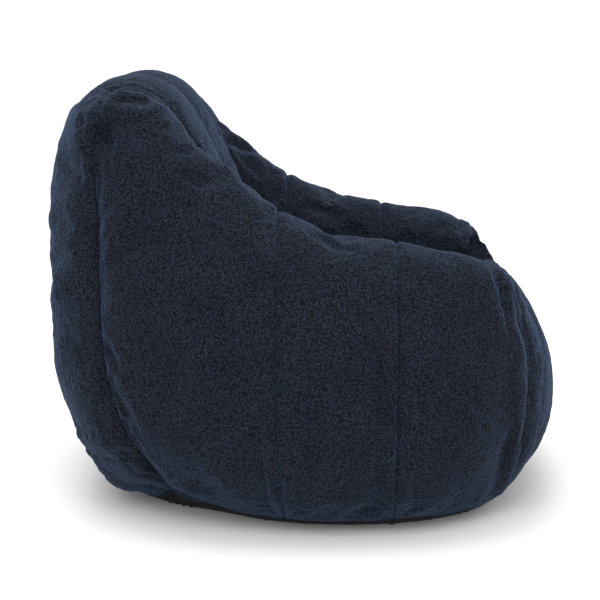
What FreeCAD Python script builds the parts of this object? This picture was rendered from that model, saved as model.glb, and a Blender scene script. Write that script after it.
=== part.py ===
"""Bean bag armchair: sewn sherpa cover strips over filled chambers, a flat base and a rear closing zip.

Millimetres. The chair stands on z = 0 and faces -Y, and x = 0 is its plane of symmetry.
Every soft piece is a closed solid between two smooth grids of points, an outer and an inner one.
"""
import FreeCAD, Part
import math
import os
import Sketcher

V = FreeCAD.Vector
doc = FreeCAD.newDocument("bean_bag_chair")

# ---------------------------------------------------------------- driving dimensions
SIZES = {
    # the whole chair
    "half_width": 450.0,        # widest point of the sides, from the middle
    "half_depth": 460.0,        # front and rear reach, from the origin
    "back_height": 778.0,       # top of the backrest above the floor
    # arms and seat
    "seat_height": 350.0,       # seat beside the backrest
    "seat_rise": 42.0,          # how much higher the seat's front edge is
    "seat_half_width": 203.0,   # seat between the arms, from the middle
    "crest_offset": 296.0,      # top line of an arm, from the middle
    "arm_height_front": 450.0,
    "arm_height_middle": 499.0,
    "arm_height_rear": 545.0,
    "bulge_height": 230.0,      # height at which the sides are widest
    # seams
    "front_seam": 345.0,        # front panel to side strips, ahead of the origin
    "middle_seam": 155.0,       # front to middle side strip, ahead of the origin
    "rear_seam": 45.0,          # middle to rear side strip, behind the origin
    "back_seam": 350.0,         # rear side strip to back pad, behind the origin
    "foot_half_width": 322.0,   # base panel, from the middle
    "foot_front": 386.0,        # base panel's reach ahead of the origin
    "foot_rear": 318.0,         # base panel's reach behind the origin
    # backrest
    "seat_back": 15.0,          # where the seat meets the backrest, behind the origin
    "channel_depth": 24.0,      # valley between two padded channels
    # cloth
    "cover_thickness": 5.0,
    "base_thickness": 3.0,
    "liner_thickness": 1.0,
    "seam_gap": 0.8,
    "fill_gap": 6.0,
    # rear zip
    "zip_length": 380.0,
    "zip_height": 112.0,
    "zip_depth": 9.0,           # zip below the cover's surface
    "zip_opening": 30.0,        # between the two cover edges
    "tape_width": 13.0,
    "tape_thickness": 0.7,
    "coil_width": 2.6,
    "coil_thickness": 2.2,
    "coil_parting": 1.4,
    "slider_length": 13.0,
    "slider_width": 11.0,
    "slider_plate": 1.2,
    "slider_clearance": 0.3,
    "diamond_width": 0.8,
    "stop_length": 3.0,
}

sheet = doc.addObject("Spreadsheet::Sheet", "Sizes")
for row, (alias, value) in enumerate(SIZES.items(), start=1):
    sheet.set(f"A{row}", alias)
    sheet.set(f"B{row}", str(value))
    sheet.setAlias(f"B{row}", alias)
doc.recompute()


def size(alias):
    """A driving dimension, as the sheet holds it."""
    return float(sheet.get(alias))


HALF_WIDTH = size("half_width")
HALF_DEPTH = size("half_depth")
TOP = size("back_height")
COVER = size("cover_thickness")
SEAM = size("seam_gap")
FILL = COVER + size("fill_gap")
FLOOR = size("base_thickness") + SEAM


# ---------------------------------------------------------------- curves
def smooth(knots, at):
    """Monotone cubic through (x, y) knots, level with its end knots outside them."""
    if at <= knots[0][0]:
        return knots[0][1]
    if at >= knots[-1][0]:
        return knots[-1][1]
    slopes = [(b[1] - a[1]) / (b[0] - a[0]) for a, b in zip(knots, knots[1:])]
    tangents = [slopes[0]]
    for before, after in zip(slopes, slopes[1:]):
        same_way = before * after > 0
        tangents.append(2 * before * after / (before + after) if same_way else 0.0)
    tangents.append(slopes[-1])
    i = next(k for k in range(len(slopes)) if at <= knots[k + 1][0])
    (x0, y0), (x1, y1) = knots[i], knots[i + 1]
    width = x1 - x0
    t = (at - x0) / width
    return ((2 * t ** 3 - 3 * t ** 2 + 1) * y0 + (t ** 3 - 2 * t ** 2 + t) * width * tangents[i]
            + (3 * t ** 2 - 2 * t ** 3) * y1 + (t ** 3 - t ** 2) * width * tangents[i + 1])


def spline_point(points, t):
    """Point at share t, from 0 to 1, of a smooth spline through 2-D points, by length between them."""
    stations = [0.0]
    for a, b in zip(points, points[1:]):
        stations.append(stations[-1] + max(1e-6, math.dist(a, b)))
    at = t * stations[-1]
    i = max(k for k in range(len(points) - 1) if stations[k] <= at + 1e-9)

    def tangent(k):
        low, high = max(k - 1, 0), min(k + 1, len(points) - 1)
        run = stations[high] - stations[low]
        return [(points[high][c] - points[low][c]) / run for c in (0, 1)]

    width = stations[i + 1] - stations[i]
    s = (at - stations[i]) / width
    weights = (2 * s ** 3 - 3 * s ** 2 + 1, (s ** 3 - 2 * s ** 2 + s) * width,
               3 * s ** 2 - 2 * s ** 3, (s ** 3 - s ** 2) * width)
    start, end = tangent(i), tangent(i + 1)
    return tuple(weights[0] * points[i][c] + weights[1] * start[c]
                 + weights[2] * points[i + 1][c] + weights[3] * end[c] for c in (0, 1))


def dome(share, power):
    """Height of a rounded form, 1 in the middle and 0 at its edge."""
    return max(0.0, 1 - abs(share) ** power) ** (1 / power)


def ease(low, high, at):
    """0 below low, 1 above high and smooth between them."""
    share = min(1.0, max(0.0, (at - low) / (high - low)))
    return share * share * (3 - 2 * share)


# ---------------------------------------------------------------- the chair's form
MIDDLE = -40.0      # where the sides are widest, along Y
FOOT_MIDDLE = -60.0     # where the foot is widest
BULGE_POWER = 2.5
REAR_POWER = 3.0
FOOT_POWER = 2.4
FRONT_POWER = 2.0


def bulge_half_width(y):
    if y < MIDDLE:
        return HALF_WIDTH * dome((y - MIDDLE) / (HALF_DEPTH + MIDDLE), BULGE_POWER)
    return HALF_WIDTH * dome((y - MIDDLE) / (HALF_DEPTH - MIDDLE), REAR_POWER)


def foot_half_width(y):
    """Half width of the foot, where the cover meets the base panel."""
    reach = size("foot_front") + FOOT_MIDDLE if y < FOOT_MIDDLE else size("foot_rear") - FOOT_MIDDLE
    return size("foot_half_width") * dome((y - FOOT_MIDDLE) / reach, FOOT_POWER)


def foot_end(x, sign):
    """Front (sign -1) or rear (sign 1) edge of the foot, as y at side distance x."""
    reach = size("foot_rear") - FOOT_MIDDLE if sign > 0 else size("foot_front") + FOOT_MIDDLE
    return FOOT_MIDDLE + sign * reach * dome(x / size("foot_half_width"), FOOT_POWER)


def crest_height(y):
    """Top line of an arm, rising into the shoulder."""
    arm = [(-size("front_seam"), size("arm_height_front")),
           (-0.8 * size("front_seam"), 0.45 * size("arm_height_front") + 0.55 * size("arm_height_middle")),
           (-size("middle_seam"), size("arm_height_middle")),
           (size("rear_seam") - 20, size("arm_height_rear"))]
    run = size("back_seam") - size("rear_seam")
    rise = TOP - size("arm_height_rear")
    shoulder = [(size("rear_seam") + run * a, size("arm_height_rear") + rise * b)
                for a, b in ((0.18, 0.22), (0.49, 0.58), (0.706, 0.84), (0.9, 0.9), (1.0, 0.87))]
    return smooth(arm + shoulder, y)


SEAT_SHARES = ((0.0, 1.0), (0.25, 0.55), (0.6, 0.05), (1.0, 0.0))


def seat_surface(y):
    """Height of the seat, from its front edge back to the backrest."""
    front = -size("front_seam") - 45
    share = (y - front) / (size("seat_back") - front)
    return size("seat_height") + size("seat_rise") * smooth(SEAT_SHARES, share)


FRONT_SHARES = ((0.0, 0.01), (0.29, 0.4), (0.505, 0.735), (0.70, 0.945))
TOP_AT = 0.72       # where the backrest is highest, as a share of the half depth
OVER_SHARES = ((TOP_AT, 1.0), (0.886, 0.932), (0.983, 0.79), (1.0, 0.61), (0.99, 0.385), (0.945, 0.205))


def back_profile():
    """Side view of the backrest: up its front, over the top and down to the zip, as (y, z)."""
    run, rise = size("back_seam") - size("seat_back"), TOP - size("seat_height")
    front = [(size("seat_back") + a * run, size("seat_height") + b * rise) for a, b in FRONT_SHARES]
    return front + [(a * HALF_DEPTH, b * TOP) for a, b in OVER_SHARES] + [zip_edge(1)]


ZIP_TILT = 20.0     # degrees that the zip's face leans under the back pad
ZIP_Y = 0.905 * HALF_DEPTH


def zip_edge(side):
    """Edge of the cover above (side 1) or below (side -1) the zip, as (y, z)."""
    half = size("zip_opening") / 2
    tilt = math.radians(ZIP_TILT)
    return (ZIP_Y + side * half * math.sin(tilt), size("zip_height") + side * half * math.cos(tilt))


def back_seam_y(z):
    """Seam between the rear side strip and the back pad."""
    at = size("back_seam")
    return smooth([(0.0, at - 104), (46.0, at - 71), (0.22 * TOP, at - 27), (0.52 * TOP, at),
                   (0.84 * TOP, at), (0.91 * TOP, at - 5), (0.98 * TOP, at - 12)], z)


def valley_height(y):
    """Height of the valley between the shoulder and the nearest channel."""
    if y < size("seat_back"):
        return seat_surface(y)
    profile = [p for p in back_profile() if p[0] <= 0.73 * HALF_DEPTH][:5]
    fall = size("channel_depth")
    valley = smooth([(a + 0.8 * fall, b - 0.4 * fall) for a, b in profile], y)
    return min(max(valley, seat_surface(y)), crest_height(y) - 8)


def side_outline(y):
    """Section of one side at y: from the base up, over the crest and down to the seat, as (x, z)."""
    foot, bulge, crest = foot_half_width(y), bulge_half_width(y), size("crest_offset")
    crest = min(crest, bulge - 0.12 * HALF_WIDTH)
    bulge_z, top = size("bulge_height"), crest_height(y)
    inner, low = size("seat_half_width"), valley_height(y)
    drop = top - low
    return [(foot, FLOOR),
            (foot + 0.55 * (bulge - foot), 0.22 * bulge_z),
            (foot + 0.88 * (bulge - foot), 0.58 * bulge_z),
            (bulge, bulge_z),
            (bulge - 0.10 * (bulge - crest), bulge_z + 0.42 * (top - bulge_z)),
            (crest + 0.58 * (bulge - crest), bulge_z + 0.79 * (top - bulge_z)),
            (crest + 0.27 * (bulge - crest), top - 0.05 * (top - bulge_z)),
            (crest, top),
            (crest - 0.42 * (crest - inner), top - min(14.0, 0.3 * drop)),
            (inner + 0.18 * (crest - inner), top - 0.4 * drop),
            (inner + 0.03 * (crest - inner), top - 0.75 * drop),
            (inner + SEAM, low + SEAM)]


# ---------------------------------------------------------------- solids between two grids
def grid_face(points):
    surface = Part.BSplineSurface()
    surface.interpolate(points)
    return surface


def block(outer, inner):
    """Closed solid between two grids of points, with ruled sides."""
    top, bottom = grid_face(outer), grid_face(inner)
    faces = [top.toShape(), bottom.toShape()]
    for iso, bounds in (("uIso", (0, 1)), ("vIso", (2, 3))):
        for k in bounds:
            rims = [Part.Wire(getattr(s, iso)(s.bounds()[k]).toShape()) for s in (top, bottom)]
            faces += Part.makeLoft(rims, False, True).Faces
    shell = Part.makeShell(faces)
    shell.sewShape()
    solid = Part.makeSolid(shell)
    if solid.Volume < 0:
        solid.reverse()
    return solid


def shares(count, low=0.0, high=1.0):
    return [low + (high - low) * k / (count - 1) for k in range(count)]


def inwards(surface, facing):
    """Function of (u, v, depth): the surface's point moved inwards, at right angles to it."""
    def point(u, v, depth=0.0):
        rim, step = 0.02, 0.004
        a, b = min(1 - rim, max(rim, u)), min(1 - rim, max(rim, v))
        along = surface(a + step, b) - surface(a - step, b)
        across = surface(a, b + step) - surface(a, b - step)
        return surface(u, v) - along.cross(across).normalize() * facing * depth
    return point


def skin(point, us, vs):
    """Cover piece: the solid from a surface down to the cover's thickness."""
    return block([[point(u, v, 0.0) for v in vs] for u in us],
                 [[point(u, v, COVER) for v in vs] for u in us])


def mirrored(solid):
    return solid.mirror(V(0, 0, 0), V(1, 0, 0))


nodes = {}


def add_solid(name, solid):
    """A soft piece as a feature of the document."""
    feature = doc.addObject("Part::Feature", name)
    feature.Label = name
    feature.Shape = solid
    nodes[name] = feature


def add_pair(name, solid):
    """The same piece on both sides; the sitter's left is +x."""
    add_solid(name + "_left", solid)
    add_solid(name + "_right", mirrored(solid))


# ---------------------------------------------------------------- side strips
def side_point(front, rear):
    """Surface of a side strip: u round the section, v from its front to its rear seam.

    Depth is measured inwards in the section's own plane, so the strip's seams stay where they are.
    """
    def point(u, v, depth=0.0):
        z = size("bulge_height")
        for _ in range(4):
            y = front(z) + v * (rear(z) - front(z))
            outline = side_outline(y)
            x, z = spline_point(outline, u)
        (xa, za), (xb, zb) = (spline_point(outline, min(1.0, max(0.0, u + e))) for e in (-0.004, 0.004))
        run = math.hypot(xb - xa, zb - za)
        return V(x - (zb - za) / run * depth, y, z + (xb - xa) / run * depth)
    return point


def seam_at(alias, sign, side):
    """A straight seam's y, half a gap to one side of it."""
    return lambda z: sign * size(alias) + side * SEAM / 2


AROUND = shares(33)
side_strips = {
    "side_strip_front": side_point(seam_at("front_seam", -1, 1), seam_at("middle_seam", -1, -1)),
    "side_strip_middle": side_point(seam_at("middle_seam", -1, 1), seam_at("rear_seam", 1, -1)),
    "side_strip_rear": side_point(seam_at("rear_seam", 1, 1), lambda z: back_seam_y(z) - SEAM / 2),
}
for name, point in side_strips.items():
    add_pair(name, skin(point, AROUND, shares(17 if name.endswith("rear") else 7)))

# Gaps that keep the filled chambers apart.
ARM_FROM_FRONT = 15.0    # arm's chamber behind the front seam
ARM_FROM_BACK = 20.0     # arm's chamber ahead of the back seam
SHOULDER_GAP = 16.0      # extra room at the shoulder's top, where the strip curls inwards
ARM_LEAST = 3.0          # least width of the arm's chamber
CHAMBER_GAP = 2.0        # seat's and back's chambers inside the seat's half width
SEAT_FROM_FRONT = 19.0   # seat's chamber behind the front seam
FRONT_FROM_SEAM = 12.0   # front chamber's rear plane behind the front seam
SLANT_GAP = 8.0          # back's chamber above the slant
SLANT_REAR = 40.0        # slant's low end ahead of the zip
FOOT_REAR_GAP = 85.0     # seat chamber's low rear edge ahead of the foot's
BASE_GAP = 1.5           # seat's chamber above the covers' foot

whole_side = side_point(lambda z: ARM_FROM_FRONT - size("front_seam"),
                        lambda z: back_seam_y(z) - ARM_FROM_BACK)


def arm_fill():
    """Filled chamber of one arm and shoulder, flat against the seat's chamber."""
    wall = size("seat_half_width") + FILL
    rows, columns = AROUND, shares(25)
    outer = [[whole_side(u, v, FILL + SHOULDER_GAP * ease(0.5, 0.9, v)) for v in columns] for u in rows]
    inner = []
    for u, row in zip(rows, outer):
        line = []
        for p in row:
            top = valley_height(p.y) - 2 * FILL
            z = FLOOR + FILL + u * (top - FLOOR - FILL)
            line.append(V(min(wall, p.x - ARM_LEAST), p.y, z))
        inner.append(line)
    for p in outer[0]:
        p.z = FLOOR + FILL
    return block(outer, inner)


add_pair("arm_fill", arm_fill())

# ---------------------------------------------------------------- back pad
PROFILE = back_profile()
CHANNEL = 0.5 * size("seat_half_width")


def profile_share(y, z):
    """Share of the profile's length at its point nearest to (y, z)."""
    return min(shares(401), key=lambda t: math.dist(spline_point(PROFILE, t), (y, z)))


TOP_SHARE = profile_share(TOP_AT * HALF_DEPTH, TOP)


def rear_half_width(z):
    """Half width of the back pad at its side seam."""
    outline = side_outline(back_seam_y(z) - SEAM / 2)
    outer_side = [spline_point(outline, u) for u in shares(61, 0.0, 0.75)]
    top = max(p[1] for p in outer_side)
    return min(outer_side, key=lambda p: abs(p[1] - min(z, top - 12)))[0]


TO_EDGE = (0.0, 0.2, 0.4, 0.58, 0.73, 0.85, 0.93, 0.975, 0.995, 1.0)
ACROSS = tuple(sorted({(1 + sign * v) / 2 for v in TO_EDGE for sign in (-1, 1)}))
WIDTHS = [(z, rear_half_width(z)) for z in shares(18, FLOOR, TOP)]
TOP_THICKNESS = 66.0
REAR_POWERS = ((TOP_SHARE, 2.2), (0.8, 2.1), (1.0, 3.0))
PEAK_ROUND = 0.06


def pad_section(t):
    """Profile point, outward normal, thickness down to the side seam and half width there."""
    y, z = spline_point(PROFILE, t)
    (ya, za), (yb, zb) = (spline_point(PROFILE, min(1.0, max(0.0, t + e))) for e in (-0.01, 0.01))
    run = math.hypot(yb - ya, zb - za)
    normal = (-(zb - za) / run, (yb - ya) / run)
    thickness = TOP_THICKNESS
    if t > TOP_SHARE:
        reach = TOP_THICKNESS
        for _ in range(6):
            reach = (y - back_seam_y(z - normal[1] * reach) - SEAM / 2) / max(normal[0], 0.3)
        thickness += (reach - TOP_THICKNESS) * ease(TOP_SHARE + 0.03, TOP_SHARE + 0.16, t)
    return (y, z), normal, thickness, smooth(WIDTHS, z - normal[1] * thickness)


def pad_point(x, t, depth=0.0):
    """Point of the back pad at side distance x and share t of its profile, sunk by a depth."""
    (y, z), normal, thickness, width = pad_section(t)
    edge_share = min(1.0, max(0.0, (x - CHANNEL) / (width - depth - CHANNEL)))
    rounding = thickness * (1 - dome(edge_share, smooth(REAR_POWERS, t)))
    channel = size("channel_depth") * ((x - CHANNEL) / CHANNEL) ** 2 if x < 2 * CHANNEL else 0.0
    rear_share = ease(TOP_SHARE - PEAK_ROUND, TOP_SHARE + PEAK_ROUND, t)
    front_fall = channel if x < 2 * CHANNEL else size("channel_depth")
    rear_fall = rounding + 0.3 * channel * (1 - ease(0.85, 1.0, t))
    fall = (1 - rear_share) * front_fall + rear_share * rear_fall + depth
    if x > 2 * CHANNEL:
        fall = min(fall, thickness)
    return V(x, y - normal[0] * fall, z - normal[1] * fall)


def centre_strip(u, v, depth=0.0):
    return pad_point(SEAM / 2 + v * (size("seat_half_width") - SEAM), u, depth)


def outer_share(u):
    """Share of the profile at share u of an outer strip, which starts just behind the top."""
    return TOP_SHARE + 0.02 + u * (0.98 - TOP_SHARE)


def outer_strip(u, v, depth=0.0):
    """Outer strip of the back pad, from the top to the zip, rounding off to its side seam."""
    t = outer_share(u)
    low = size("seat_half_width") + SEAM / 2
    return pad_point(low + v * (pad_section(t)[3] - low - depth), t, depth)


add_pair("back_strip_centre", skin(centre_strip, shares(41), shares(9)))
add_pair("back_strip_outer", skin(outer_strip, shares(21), TO_EDGE))


def slant(share, lift):
    """Line from the seat's rear edge down to above the zip, where seat and back chambers meet."""
    start = (size("seat_back") + size("channel_depth") + FILL, size("seat_height") - 2 * FILL)
    end = (ZIP_Y - SLANT_REAR, size("zip_height") + SLANT_GAP)
    return (start[0] + share * (end[0] - start[0]), start[1] + share * (end[1] - start[1]) + lift)


def back_fill():
    """Chamber of the backrest between the two arms' shoulders."""
    wall = size("seat_half_width") - CHAMBER_GAP
    outer, inner = [], []
    for t, share in zip(shares(33, 0.03, 0.96), shares(33, 0.01, 0.99)):
        y, z = slant(share, SLANT_GAP)
        row, line = [], []
        for x in shares(13, -wall, wall):
            p = pad_point(abs(x), t, FILL)
            row.append(V(x, p.y, p.z))
            line.append(V(x, y, z))
        outer.append(row)
        inner.append(line)
    return block(outer, inner)


def back_wing_fill():
    """Chamber of the back pad behind one shoulder."""
    rows, columns = shares(15, 0.06, 0.93), TO_EDGE[:7]
    outer = [[outer_strip(u, v, FILL) for v in columns] for u in rows]
    inner = []
    for u, row in zip(rows, outer):
        (y, z), normal, thickness, _ = pad_section(outer_share(u))
        depth = thickness - COVER
        inner.append([V(p.x, y - normal[0] * depth, z - normal[1] * depth) for p in row])
    return block(outer, inner)


add_solid("back_fill", back_fill())
add_pair("back_wing_fill", back_wing_fill())

# ---------------------------------------------------------------- front panel, seat and rear tuck
FRONT_REACH = [(0.0, 0.845), (0.12, 0.93), (0.26, 0.983), (0.43, 1.0), (0.56, 0.99), (0.70, 0.952),
               (0.82, 0.885), (0.9, 0.845), (1.0, 0.76)]


def front_reach(z):
    """How far the front bulges ahead of the origin at height z, in the middle."""
    return HALF_DEPTH * smooth(FRONT_REACH, z / size("arm_height_front"))


FRONT_SECTION = [spline_point(side_outline(-size("front_seam")), u) for u in shares(61, 0.0, 0.7)]


def front_half_width(z):
    return min(FRONT_SECTION, key=lambda p: abs(p[1] - z))[0]


FRONT_WIDTHS = [(z, front_half_width(z)) for z in shares(12, FLOOR, size("arm_height_front") - 6)]


FOOT_RISE = 0.3     # share of a panel's height over which it leaves the foot's outline


def foot_curve(share, width, sign, seam, depth):
    """How far the foot's outline reaches beyond a seam, at a share of the width and a depth."""
    most = abs(foot_end(0.0, sign)) - seam
    reach = max(0.0, abs(foot_end(share * width, sign)) - seam)
    return reach * (most - depth) / most


def front_panel(u, v, depth=0.0):
    """u from the floor to the seat's front edge, v across; a depth keeps its rims on the side seams."""
    share = 2 * v - 1
    seat_edge = size("seat_height") + size("seat_rise") - SEAM
    top = seat_edge + (size("arm_height_front") - 8 - seat_edge) * ease(0.62, 0.84, abs(share))
    z = FLOOR + u * (top - FLOOR)
    seam = size("front_seam") + SEAM / 2
    y = -seam - (front_reach(z) - seam - depth) * dome(share, FRONT_POWER)
    foot = foot_curve(share, smooth(FRONT_WIDTHS, FLOOR), -1, seam, depth)
    y += (-seam - foot - y) * (1 - ease(0.0, FOOT_RISE, u))
    return V(share * (smooth(FRONT_WIDTHS, z) - depth), y, z)


add_solid("front_panel", skin(front_panel, shares(15), ACROSS))


def front_fill():
    """Chamber behind the front panel, across both arms and the seat's front edge."""
    rows, columns = shares(15)[:-1], ACROSS[2:-2]
    outer = [[front_panel(u, v, FILL) for v in columns] for u in rows]
    plane = FRONT_FROM_SEAM - size("front_seam")
    inner = [[V(p.x, plane, p.z) for p in row] for row in outer]
    return block(outer, inner)


add_solid("front_fill", front_fill())


def seat_panel(u, v):
    """u across, v from the backrest to the front edge."""
    x = (2 * u - 1) * (size("seat_half_width") - SEAM)
    seam = size("front_seam")
    z = size("seat_height") + size("seat_rise")
    edge = -seam - (front_reach(z) - seam) * dome(x / smooth(FRONT_WIDTHS, z), FRONT_POWER) + COVER + SEAM
    rear = size("seat_back") - SEAM
    y = rear + v * (edge - rear)
    return V(x, y, seat_surface(y))


add_solid("seat_panel", skin(inwards(seat_panel, -1), shares(7), shares(13)))


def seat_fill():
    """Chamber under the seat, running back under the backrest's chamber."""
    wall = size("seat_half_width") - CHAMBER_GAP
    front, bottom = SEAT_FROM_FRONT - size("front_seam"), FLOOR + BASE_GAP
    seat_run = size("seat_back") - front
    outer, inner = [], []
    for share in shares(17):
        if share < 0.5:
            y = front + 2 * share * seat_run
            z = seat_surface(y) - FILL
        else:
            y, z = slant(2 * share - 1, 0)
        foot = front + share * (size("foot_rear") - FOOT_REAR_GAP - front)
        outer.append([V(x, y, z) for x in shares(5, -wall, wall)])
        inner.append([V(x, foot, bottom) for x in shares(5, -wall, wall)])
    return block(outer, inner)


add_solid("seat_fill", seat_fill())

TUCK_HEIGHTS = [(0.0, size("foot_rear")), (0.12, 0.77 * HALF_DEPTH), (0.42, 0.84 * HALF_DEPTH)]


def rear_tuck(u, v, depth=0.0):
    """Cover from the zip down to the base panel: u from the top, v across.

    Beyond the zip's ends it rises to meet the strips above, and it rises again round the pad's edge.
    """
    (top_y, top), (upper_y, upper) = zip_edge(-1), zip_edge(1)
    share = 2 * v - 1
    zip_end = size("seat_half_width")
    width = smooth(WIDTHS, top)
    closing = ease(zip_end - 3, zip_end + 12, abs(share) * width)
    edge_share = max(0.0, (abs(share) * width - CHANNEL) / (width - CHANNEL))
    rounding = 1 - dome(edge_share, REAR_POWERS[-1][1])
    round_edge = rounding * pad_section(1.0)[2] * math.sin(math.radians(ZIP_TILT))
    edge = top + closing * (upper - top - 2 * SEAM) + round_edge
    z = edge + u * (FLOOR - edge)
    rise = (z - FLOOR) / (top - FLOOR)
    y_middle = smooth(TUCK_HEIGHTS + [(1.0, top_y), ((upper - FLOOR) / (top - FLOOR), upper_y)], rise)
    seam = back_seam_y(z) + SEAM / 2
    power = FOOT_POWER + (REAR_POWERS[-1][1] - FOOT_POWER) * min(1.0, rise)
    y = seam + (y_middle - seam - depth) * dome(edge_share, power)
    foot = foot_curve(share, smooth(WIDTHS, FLOOR), 1, back_seam_y(FLOOR), depth)
    y += (seam + foot - y) * (1 - ease(0.0, FOOT_RISE, rise))
    return V(share * (smooth(WIDTHS, z) - depth), y, z)


add_solid("rear_tuck_panel", skin(rear_tuck, shares(15), ACROSS))


# ---------------------------------------------------------------- base panel and baffles
def base_outline():
    """Foot of the chair: the curve on which the cover meets the base panel."""
    front, rear = -size("foot_front"), size("foot_rear")
    middle, half = (rear + front) / 2, (rear - front) / 2
    right = [middle - half * math.cos(math.pi * k / 16) for k in range(1, 16)]
    points = [V(0, front, 0)] + [V(foot_half_width(y), y, 0) for y in right]
    points += [V(0, rear, 0)] + [V(-foot_half_width(y), y, 0) for y in reversed(right)]
    curve = Part.BSplineCurve()
    curve.interpolate(points, PeriodicFlag=True)
    return Part.Face(Part.Wire(curve.toShape()))


add_solid("base_panel", base_outline().extrude(V(0, 0, size("base_thickness"))))


def polygon_sketch(body, role, name, corners, lift="0"):
    """Closed polygon on one of the body's own planes, each corner bound to a pair of expressions."""
    sketch = body.newObject("Sketcher::SketchObject", name)
    plane = next(f for f in body.Origin.OriginFeatures if f.Role == role)
    sketch.AttachmentSupport = [(plane, "")]
    sketch.MapMode = "FlatFace"
    sketch.setExpression("AttachmentOffset.Base.z", lift)
    at = [V(*(float(sheet.evalExpression(e)) for e in pair), 0) for pair in corners]
    for k, start in enumerate(at):
        sketch.addGeometry(Part.LineSegment(start, at[(k + 1) % len(at)]))
    for k, pair in enumerate(corners):
        previous = (k - 1) % len(at)
        sketch.addConstraint(Sketcher.Constraint("Coincident", previous, 2, k, 1))
        for kind, expression, value in zip(("DistanceX", "DistanceY"), pair, at[k]):
            index = sketch.addConstraint(Sketcher.Constraint(kind, -1, 1, k, 1, value))
            sketch.setExpression(f"Constraints[{index}]", expression)
    return sketch


def pad(body, sketch, name, length):
    feature = body.newObject("PartDesign::Pad", name)
    feature.Profile = sketch
    feature.setExpression("Length", length)
    return feature


def rectangle(x_half, y_half):
    """Corner expressions of a rectangle about the origin."""
    left, below = f"-({x_half})", f"-({y_half})"
    return [(left, below), (x_half, below), (x_half, y_half), (left, y_half)]


def new_body(name):
    body = doc.addObject("PartDesign::Body", name)
    body.Label = name
    nodes[name] = body
    return body


BAFFLE_HEM = 3.0         # least distance of a baffle's edges from the covers
BAFFLE_GAP = 1.5         # side baffle outside the seat's half width


def side_baffle(side, sign):
    """Liner sheet between the seat's chamber and one arm's."""
    name = f"baffle_{side}"
    body = new_body(name)
    front = f"{SEAT_FROM_FRONT + BAFFLE_HEM} - Sizes.front_seam"
    low, high = f"Sizes.base_thickness + {BAFFLE_HEM}", f"Sizes.seat_height - {4 * BAFFLE_HEM}"
    rear = f"Sizes.foot_rear - {FOOT_REAR_GAP + 2 * BAFFLE_HEM}"
    corners = [(front, low), (rear, low), ("Sizes.seat_back", high), (front, high)]
    outline = polygon_sketch(body, "YZ_Plane", f"{name}_outline", corners)
    pad(body, outline, f"{name}_sheet", "Sizes.liner_thickness")
    reach = size("seat_half_width") + BAFFLE_GAP + (size("liner_thickness") if sign < 0 else 0)
    body.Placement = FreeCAD.Placement(V(sign * reach, 0, 0), FreeCAD.Rotation())


side_baffle("left", 1)
side_baffle("right", -1)


def strip_box(name, length, width, height, placement):
    """Plain strip with its three sizes bound to expressions, centred along its length."""
    box = doc.addObject("Part::Box", name)
    box.Label = name
    for prop, expression in (("Length", length), ("Width", width), ("Height", height)):
        box.setExpression(prop, expression)
    box.Placement = placement
    nodes[name] = box


def back_baffle():
    """Liner sheet on the slant between the seat's and the backrest's chambers."""
    (ya, za), (yb, zb) = slant(0.03, BAFFLE_HEM), slant(0.97, BAFFLE_HEM)
    half = f"(Sizes.seat_half_width - {2 * BAFFLE_HEM})"
    turn = FreeCAD.Rotation(V(1, 0, 0), math.degrees(math.atan2(zb - za, yb - ya)))
    start = FreeCAD.Placement(V(2 * BAFFLE_HEM - size("seat_half_width"), ya, za), turn)
    run = f"{math.hypot(yb - ya, zb - za)}"
    strip_box("baffle_back", f"2 * {half}", run, "Sizes.liner_thickness", start)


back_baffle()

# ---------------------------------------------------------------- rear zip
# In the zip's own frame x runs along it, y down the cover and z out of it.
NORMAL = V(0, math.cos(math.radians(ZIP_TILT)), -math.sin(math.radians(ZIP_TILT)))
ZIP_CENTRE = V(0, ZIP_Y, size("zip_height")) - NORMAL * size("zip_depth")
ZIP_TURN = FreeCAD.Rotation(V(1, 0, 0), -90 - ZIP_TILT)
TAPE_END = 8.0           # tape that runs on past each stop
STOP_GRIP = 0.6          # a stop stands out this much over both faces of the coils


def on_zip(x, y, z):
    return FreeCAD.Placement(ZIP_CENTRE + ZIP_TURN.multVec(V(x, y, z)), ZIP_TURN)


def zip_strips():
    """Two tapes and two coils that face each other across the parting line."""
    length, inner = size("zip_length"), size("coil_parting") / 2
    tape, coil = size("tape_thickness"), size("coil_thickness")
    tape_at = inner + size("coil_width")
    starts = {"upper": (-tape_at - size("tape_width"), -tape_at), "lower": (tape_at, inner)}
    for side, (tape_y, coil_y) in starts.items():
        strip_box(f"zip_tape_{side}", f"Sizes.zip_length + {2 * TAPE_END}", "Sizes.tape_width",
                  "Sizes.tape_thickness", on_zip(-length / 2 - TAPE_END, tape_y, -tape / 2))
        strip_box(f"zip_coil_{side}", "Sizes.zip_length - 2 * Sizes.stop_length", "Sizes.coil_width",
                  "Sizes.coil_thickness", on_zip(-length / 2 + size("stop_length"), coil_y, -coil / 2))


def zip_stops():
    """Metal stops clamped over both coils at each end of the zip."""
    half = size("coil_parting") / 2 + size("coil_width")
    thick = size("coil_thickness") + STOP_GRIP
    end = size("zip_length") / 2
    for name, x in (("zip_stop_closed", -end), ("zip_stop_open", end - size("stop_length"))):
        strip_box(name, "Sizes.stop_length", "Sizes.coil_parting + 2 * Sizes.coil_width",
                  f"Sizes.coil_thickness + {STOP_GRIP}", on_zip(x, -half, -thick / 2))


zip_strips()
zip_stops()

GAP = "(Sizes.coil_thickness / 2 + Sizes.slider_clearance)"
BRIDGE_WIDTH = 2.5
BRIDGE_HEIGHT = 2.6
BRIDGE_WALL = 1.1
POST_BITE = 0.2          # the diamond runs this far into both plates
SLIDER_REST = size("stop_length") + size("slider_clearance") + size("slider_length") / 2
SLIDER_X = SLIDER_REST - size("zip_length") / 2


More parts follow.
